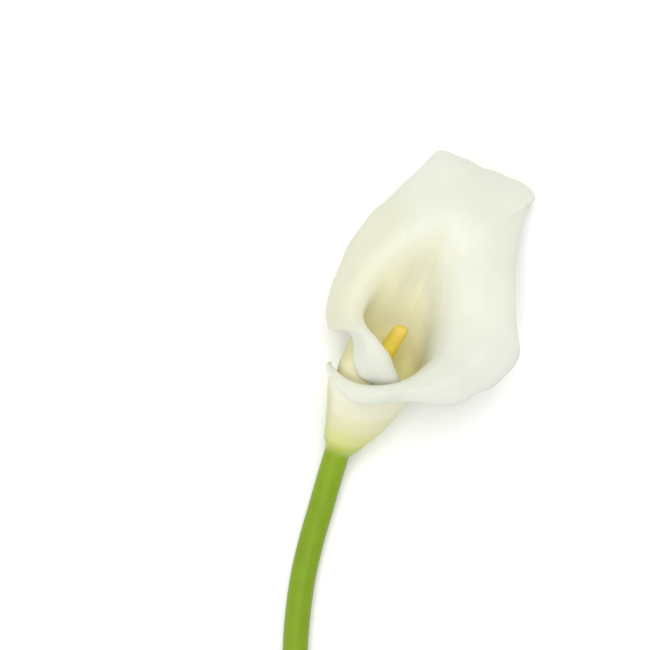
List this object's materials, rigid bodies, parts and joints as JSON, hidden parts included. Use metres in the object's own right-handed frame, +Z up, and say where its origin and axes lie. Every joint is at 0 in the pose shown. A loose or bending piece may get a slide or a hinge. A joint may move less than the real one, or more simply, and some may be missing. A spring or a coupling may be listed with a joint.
{
  "type": "calla lily flower",
  "caption": "Cut calla lily flower lying on its side: smooth round stem, white spathe rolled into a flared funnel with a curled green tip, and a yellow spadix inside.",
  "frame": {"origin": "centre of the bounding box in plan, on the table the flower lies on", "axes": "+Y along the lying stem from the cut end to the flower, +Z up from the table, which is the way the funnel's mouth faces, +X across to the side the funnel leans to"},
  "size_m": [0.1228, 0.4442, 0.0537],
  "materials": {
    "stem": "smooth waxy green stalk",
    "spathe": "satin white petal-like leaf, yellow-green deep in the funnel and at its foot",
    "spadix": "matte yellow, grainy with tiny flowers"
  },
  "bodies": {
    "root": {"stem": "stem", "spathe": "spathe", "spadix": "spadix"}
  },
  "joints": []
}
